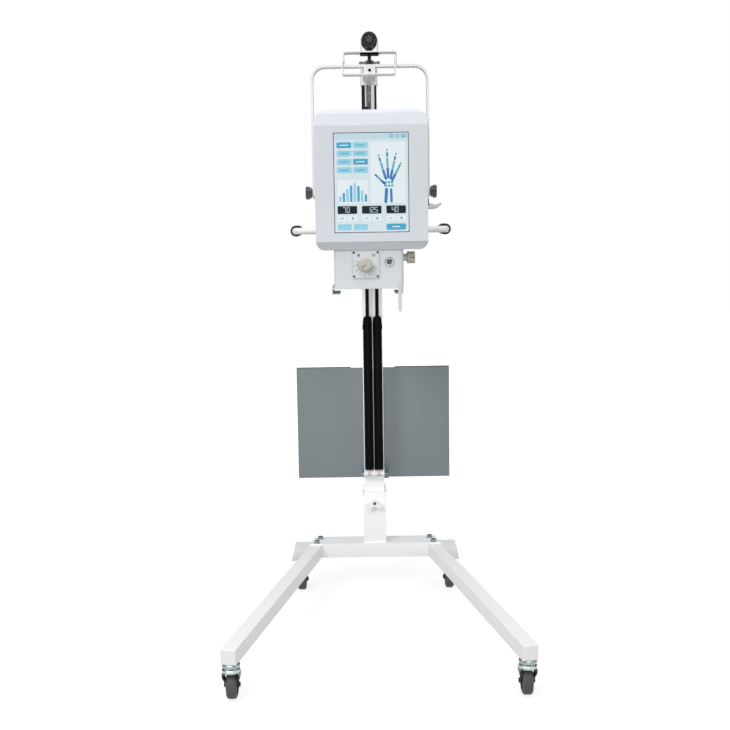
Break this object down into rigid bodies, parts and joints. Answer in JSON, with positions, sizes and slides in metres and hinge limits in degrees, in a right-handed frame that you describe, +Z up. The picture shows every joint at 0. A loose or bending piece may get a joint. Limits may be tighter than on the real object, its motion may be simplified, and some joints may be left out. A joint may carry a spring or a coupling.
{
  "type": "portable x-ray machine",
  "caption": "Portable x-ray machine: generator head with touch screen and collimator in a tilting yoke on a lifting, folding mast with a V-shaped wheeled base.",
  "frame": {"origin": "on the floor, under the middle of the machine's outline", "axes": "+Z up, -Y towards the operator facing the screen, +X to that operator's right"},
  "size_m": [0.7044, 0.9903, 1.5283],
  "materials": {
    "white_paint": "smooth white powder coat",
    "grey_paint": "satin grey paint",
    "light_grey_paint": "satin light grey paint",
    "zinc": "bright zinc plate",
    "chrome": "polished chrome",
    "black_paint": "satin black",
    "head_plastic": "fine-grained light grey plastic",
    "black_plastic": "matt black plastic",
    "dark_plastic": "dark grey plastic",
    "beige_plastic": "warm grey plastic",
    "white_plastic": "white plastic",
    "grip_rubber": "black grip rubber",
    "wheel_rubber": "dark grey rubber",
    "screen": "glossy display",
    "light_housing": "light grey lacquered aluminium",
    "clear_window": "clear acrylic",
    "tank_metal": "plain cast tank",
    "slate_plastic": "slate blue-grey plastic"
  },
  "bodies": {
    "base": {"crossbar": "white_paint", "leg_left": "white_paint", "leg_right": "white_paint", "leg_end_caps": "white_paint", "leg_bolts": "zinc", "outriggers": "white_paint", "lower_column": "white_paint", "pivot_pin": "zinc", "caster_seats": "zinc"},
    "caster_front_left": {"caster_fork_front_left": "black_paint"},
    "caster_front_right": {"caster_fork_front_right": "black_paint"},
    "caster_rear_left": {"caster_fork_rear_left": "black_paint"},
    "caster_rear_right": {"caster_fork_rear_right": "black_paint"},
    "wheel_front_left": {"caster_wheel_front_left": "wheel_rubber"},
    "wheel_front_right": {"caster_wheel_front_right": "wheel_rubber"},
    "wheel_rear_left": {"caster_wheel_rear_left": "wheel_rubber"},
    "wheel_rear_right": {"caster_wheel_rear_right": "wheel_rubber"},
    "fold_lock": {"wing_bolt": "zinc"},
    "mast": {"mast_tube": "white_paint", "mast_foot": "black_plastic", "mast_bush": "white_plastic", "spring_bracket": "white_paint", "gas_spring_left": "black_paint", "gas_spring_right": "black_paint", "spring_anchor_bolt": "zinc", "spring_spacers": "white_plastic", "detector_pocket": "grey_paint", "pocket_screws": "zinc", "push_bar": "white_paint", "push_grips": "grip_rubber"},
    "lift": {"chrome_post": "chrome", "spring_crosshead": "white_paint", "spring_rods": "black_paint"},
    "swing_arm": {"arm": "white_paint", "hoop_lower": "light_grey_paint", "hoop_upper": "light_grey_paint", "bail_saddle": "light_grey_paint", "clamp_nut_plate": "black_paint", "switch_clip": "light_grey_paint", "hand_switch": "black_plastic", "bail": "light_grey_paint"},
    "bail_clamp": {"clamp_screw": "zinc"},
    "exposure_button": {"switch_button": "slate_plastic"},
    "star_left": {"star_knob_left": "dark_plastic"},
    "star_right": {"star_knob_right": "dark_plastic"},
    "head": {"head_front_shell": "head_plastic", "head_rear_shell": "head_plastic", "display_panel": "screen", "tube_head": "tank_metal", "battery_pack": "slate_plastic", "cable_hook": "black_plastic", "collimator_housing": "light_housing", "dial_plate": "white_plastic", "button_bezel": "chrome", "accessory_rails": "light_housing", "beam_window": "clear_window", "distance_tape": "white_plastic"},
    "width_knob": {"aperture_knob_front": "beige_plastic"},
    "length_knob": {"aperture_knob_side": "beige_plastic"},
    "lamp_button": {"light_button": "slate_plastic"}
  },
  "joints": [
    {"name": "swivel_front_left", "type": "hinge", "parent": "base", "child": "caster_front_left", "pos_m": [-0.33152, -0.47422, 0.07], "axis": [0, 0, 1], "continuous": true},
    {"name": "roll_front_left", "type": "hinge", "parent": "caster_front_left", "child": "wheel_front_left", "pos_m": [-0.33152, -0.46022, 0.0315], "axis": [1, 0, 0], "continuous": true},
    {"name": "swivel_front_right", "type": "hinge", "parent": "base", "child": "caster_front_right", "pos_m": [0.33152, -0.47422, 0.07], "axis": [0, 0, 1], "continuous": true},
    {"name": "roll_front_right", "type": "hinge", "parent": "caster_front_right", "child": "wheel_front_right", "pos_m": [0.33152, -0.46022, 0.0315], "axis": [1, 0, 0], "continuous": true},
    {"name": "swivel_rear_left", "type": "hinge", "parent": "base", "child": "caster_rear_left", "pos_m": [-0.214, 0.262, 0.07], "axis": [0, 0, 1], "continuous": true},
    {"name": "roll_rear_left", "type": "hinge", "parent": "caster_rear_left", "child": "wheel_rear_left", "pos_m": [-0.214, 0.248, 0.0315], "axis": [1, 0, 0], "continuous": true},
    {"name": "swivel_rear_right", "type": "hinge", "parent": "base", "child": "caster_rear_right", "pos_m": [0.214, 0.262, 0.07], "axis": [0, 0, 1], "continuous": true},
    {"name": "roll_rear_right", "type": "hinge", "parent": "caster_rear_right", "child": "wheel_rear_right", "pos_m": [0.214, 0.248, 0.0315], "axis": [1, 0, 0], "continuous": true},
    {"name": "fold_lock_turn", "type": "hinge", "parent": "base", "child": "fold_lock", "pos_m": [0, 0.27, 0.25], "axis": [0, -1, 0], "range_deg": [-90, 90]},
    {"name": "mast_fold", "type": "hinge", "parent": "base", "child": "mast", "pos_m": [0, 0.303, 0.27], "axis": [-1, 0, 0], "range_deg": [0, 90]},
    {"name": "post_lift", "type": "slide", "parent": "mast", "child": "lift", "axis": [0, 0, 1], "range_m": [-0.18, 0]},
    {"name": "arm_swivel", "type": "hinge", "parent": "lift", "child": "swing_arm", "pos_m": [0, 0.303, 1.4525], "axis": [0, 0, 1], "range_deg": [-45, 45]},
    {"name": "head_tilt", "type": "hinge", "parent": "swing_arm", "child": "head", "pos_m": [0, 0.011, 1.134], "axis": [-1, 0, 0], "range_deg": [-40, 90]},
    {"name": "clamp_turn", "type": "hinge", "parent": "swing_arm", "child": "bail_clamp", "pos_m": [0, 0.011, 1.4548], "axis": [0, 0, 1], "range_deg": [-180, 180]},
    {"name": "exposure_press", "type": "slide", "parent": "swing_arm", "child": "exposure_button", "axis": [0, 1, 0], "range_m": [0, 0.004], "stiffness_N_per_m": 400, "springref_m": -0.001},
    {"name": "star_left_turn", "type": "hinge", "parent": "swing_arm", "child": "star_left", "pos_m": [-0.15, 0.011, 1.134], "axis": [-1, 0, 0], "range_deg": [-180, 180]},
    {"name": "star_right_turn", "type": "hinge", "parent": "swing_arm", "child": "star_right", "pos_m": [0.15, 0.011, 1.134], "axis": [1, 0, 0], "range_deg": [-180, 180]},
    {"name": "width_knob_turn", "type": "hinge", "parent": "head", "child": "width_knob", "pos_m": [-0.0165, -0.09, 0.954], "axis": [0, -1, 0], "range_deg": [-90, 90]},
    {"name": "length_knob_turn", "type": "hinge", "parent": "head", "child": "length_knob", "pos_m": [0.09, -0.045, 0.969], "axis": [1, 0, 0], "range_deg": [-90, 90]},
    {"name": "lamp_press", "type": "slide", "parent": "head", "child": "lamp_button", "axis": [0, 1, 0], "range_m": [0, 0.0025], "stiffness_N_per_m": 400, "springref_m": -0.001}
  ]
}
